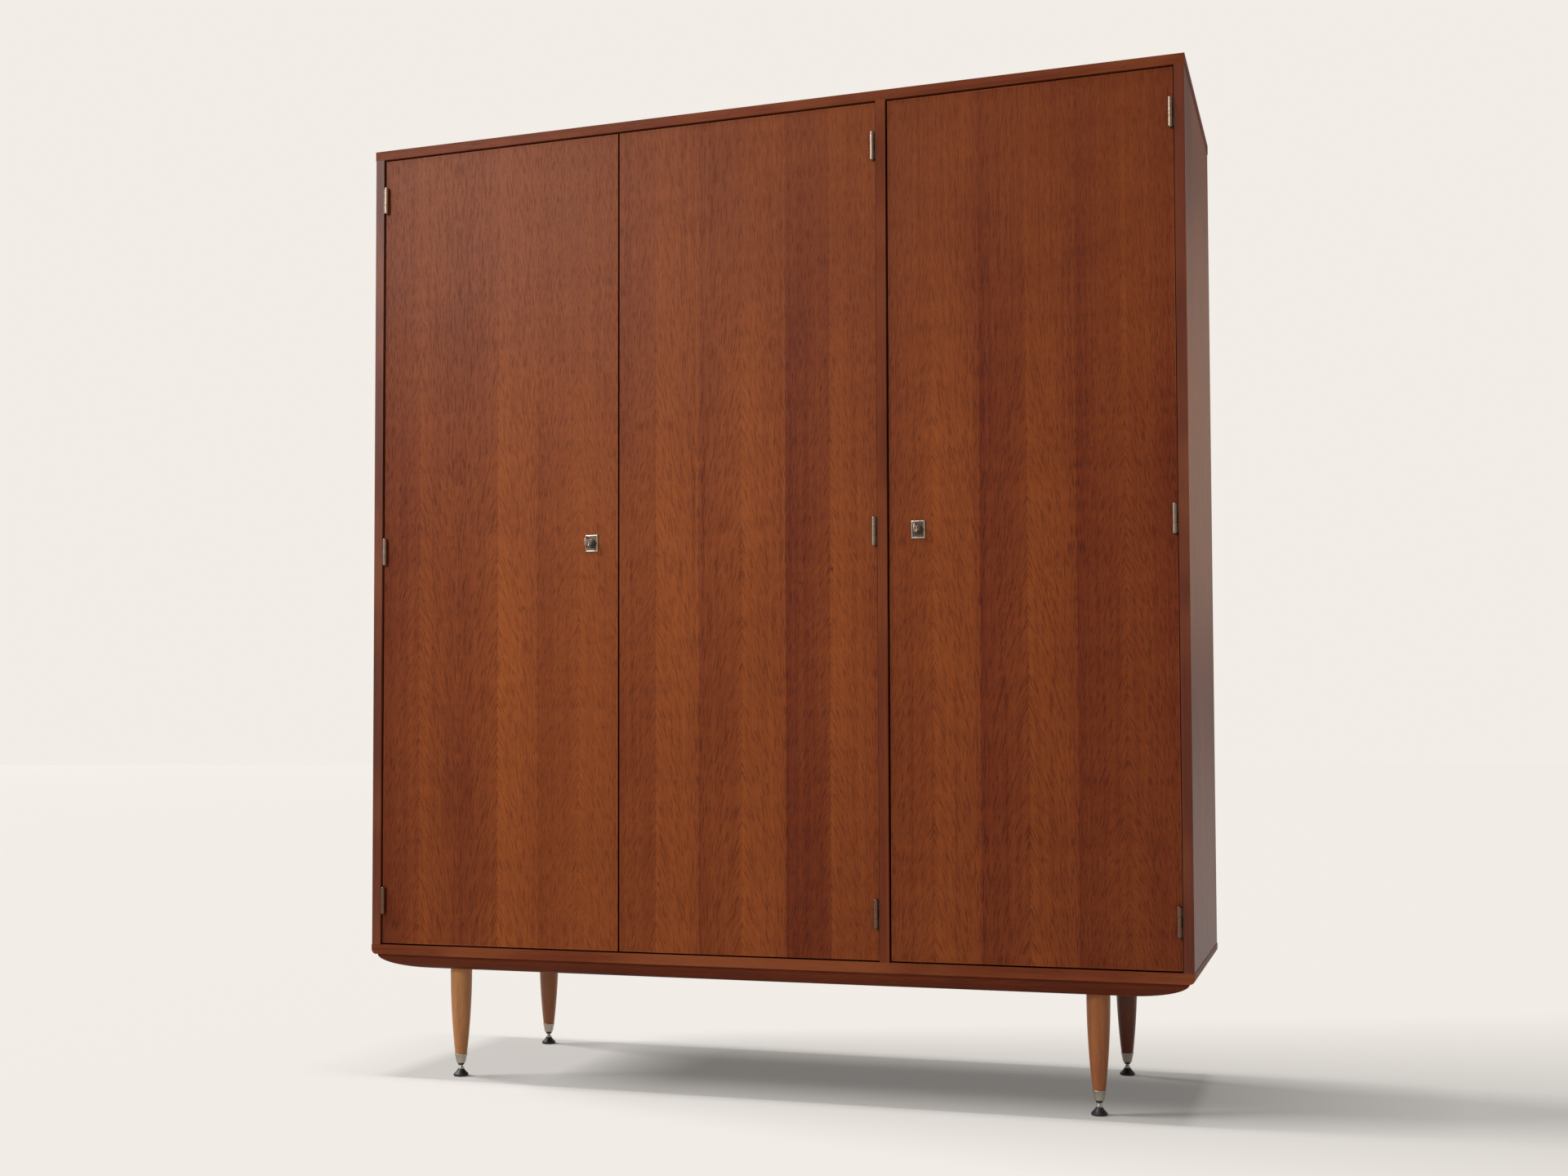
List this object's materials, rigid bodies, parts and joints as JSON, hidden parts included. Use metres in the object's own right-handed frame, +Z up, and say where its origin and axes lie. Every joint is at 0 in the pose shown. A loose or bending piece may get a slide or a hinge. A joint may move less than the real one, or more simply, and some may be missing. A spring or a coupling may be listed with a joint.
{
  "type": "wardrobe",
  "caption": "Tall veneered wardrobe with inset doors on barrel hinges, keyed locks, a hanging bay, a shelf bay and turned legs with levelling feet.",
  "frame": {"origin": "on the floor, below the middle of the whole outline with the keys included", "axes": "+Z up, the doors face -Y, +X to the right of someone looking at the doors"},
  "size_m": [1.6, 0.53, 1.852],
  "materials": {
    "carcass_veneer": "satin lacquered red-brown veneer",
    "door_veneer": "satin lacquered veneer in upright book-matched leaves",
    "base_wood": "satin lacquered dark hardwood",
    "leg_wood": "satin lacquered golden-brown hardwood",
    "interior_wood": "thin matt lacquer on plain veneer",
    "back_plywood": "bare plywood",
    "bright_nickel": "polished nickel plate",
    "satin_nickel": "satin nickel plate",
    "chromed_tube": "polished chrome plate",
    "plated_steel": "dull zinc plate",
    "screw_steel": "plated steel",
    "brass": "plain brass",
    "black_plastic": "moulded, slightly glossy"
  },
  "bodies": {
    "carcass": {"top_panel": "carcass_veneer", "left_side_panel": "carcass_veneer", "right_side_panel": "carcass_veneer", "divider_panel": "carcass_veneer", "bottom_board": "carcass_veneer", "base_front_rail": "base_wood", "base_back_rail": "base_wood", "base_left_rail": "base_wood", "base_right_rail": "base_wood", "back_panel_left": "back_plywood", "back_panel_right": "back_plywood", "back_panel_screws": "screw_steel", "hat_shelf": "interior_wood", "hat_shelf_cleats": "interior_wood", "clothes_rail": "chromed_tube", "rail_sockets": "plated_steel", "shelf_1": "interior_wood", "shelf_2": "interior_wood", "shelf_3": "interior_wood", "shelf_4": "interior_wood", "shelf_pins": "brass", "leg_front_left": "leg_wood", "leg_front_right": "leg_wood", "leg_back_left": "leg_wood", "leg_back_right": "leg_wood", "leg_studs": "screw_steel", "leg_ferrules": "satin_nickel", "leg_bushings": "black_plastic", "frame_hinge_leaves": "bright_nickel", "frame_hinge_screws": "screw_steel", "strike_plate": "plated_steel", "door_stops": "interior_wood"},
    "door_left": {"left_door_panel": "door_veneer", "left_door_hinge_leaves": "bright_nickel", "left_door_hinge_pins": "bright_nickel", "left_door_screws": "screw_steel", "left_lock_case": "plated_steel", "left_key_plate": "bright_nickel"},
    "door_middle": {"middle_door_panel": "door_veneer", "middle_door_hinge_leaves": "bright_nickel", "middle_door_hinge_pins": "bright_nickel", "middle_door_screws": "screw_steel", "lock_keeper": "plated_steel", "door_bolt_guides": "plated_steel"},
    "door_right": {"right_door_panel": "door_veneer", "right_door_hinge_leaves": "bright_nickel", "right_door_hinge_pins": "bright_nickel", "right_door_screws": "screw_steel", "right_lock_case": "plated_steel", "right_key_plate": "bright_nickel"},
    "key_left": {"left_key": "bright_nickel"},
    "key_right": {"right_key": "bright_nickel"},
    "lock_bolt_left": {"left_lock_bolt": "brass"},
    "lock_bolt_right": {"right_lock_bolt": "brass"},
    "door_bolt_top": {"top_door_bolt": "plated_steel"},
    "door_bolt_bottom": {"bottom_door_bolt": "plated_steel"},
    "levelling_front_left": {"foot_front_left": "black_plastic"},
    "levelling_front_right": {"foot_front_right": "black_plastic"},
    "levelling_back_left": {"foot_back_left": "black_plastic"},
    "levelling_back_right": {"foot_back_right": "black_plastic"}
  },
  "joints": [
    {"name": "left_door_swing", "type": "hinge", "parent": "carcass", "child": "door_left", "pos_m": [-0.7745, -0.236, 1.0465], "axis": [0, 0, -1], "range_deg": [0, 175]},
    {"name": "middle_door_swing", "type": "hinge", "parent": "carcass", "child": "door_middle", "pos_m": [0.2375, -0.236, 1.0465], "axis": [0, 0, 1], "range_deg": [0, 150]},
    {"name": "right_door_swing", "type": "hinge", "parent": "carcass", "child": "door_right", "pos_m": [0.7745, -0.236, 1.0465], "axis": [0, 0, 1], "range_deg": [0, 175]},
    {"name": "left_key_turn", "type": "hinge", "parent": "door_left", "child": "key_left", "pos_m": [-0.32425, -0.2315, 1.04], "axis": [0, 1, 0], "range_deg": [0, 180]},
    {"name": "left_bolt_slide", "type": "slide", "parent": "door_left", "child": "lock_bolt_left", "axis": [1, 0, 0], "range_m": [0, 0.014]},
    {"name": "right_key_turn", "type": "hinge", "parent": "door_right", "child": "key_right", "pos_m": [0.3195, -0.2315, 1.04], "axis": [0, -1, 0], "range_deg": [0, 180]},
    {"name": "right_bolt_slide", "type": "slide", "parent": "door_right", "child": "lock_bolt_right", "axis": [-1, 0, 0], "range_m": [0, 0.014]},
    {"name": "top_bolt_slide", "type": "slide", "parent": "door_middle", "child": "door_bolt_top", "axis": [0, 0, 1], "range_m": [0, 0.012]},
    {"name": "bottom_bolt_slide", "type": "slide", "parent": "door_middle", "child": "door_bolt_bottom", "axis": [0, 0, -1], "range_m": [0, 0.012]},
    {"name": "level_front_left", "type": "slide", "parent": "carcass", "child": "levelling_front_left", "axis": [0, 0, 1], "range_m": [-0.01, 0.005]},
    {"name": "level_front_right", "type": "slide", "parent": "carcass", "child": "levelling_front_right", "axis": [0, 0, 1], "range_m": [-0.01, 0.005]},
    {"name": "level_back_left", "type": "slide", "parent": "carcass", "child": "levelling_back_left", "axis": [0, 0, 1], "range_m": [-0.01, 0.005]},
    {"name": "level_back_right", "type": "slide", "parent": "carcass", "child": "levelling_back_right", "axis": [0, 0, 1], "range_m": [-0.01, 0.005]}
  ],
  "couplings": [
    {"joint": "left_key_turn", "follows": "left_bolt_slide", "rad_per_m": 224.39},
    {"joint": "right_key_turn", "follows": "right_bolt_slide", "rad_per_m": 224.39}
  ]
}
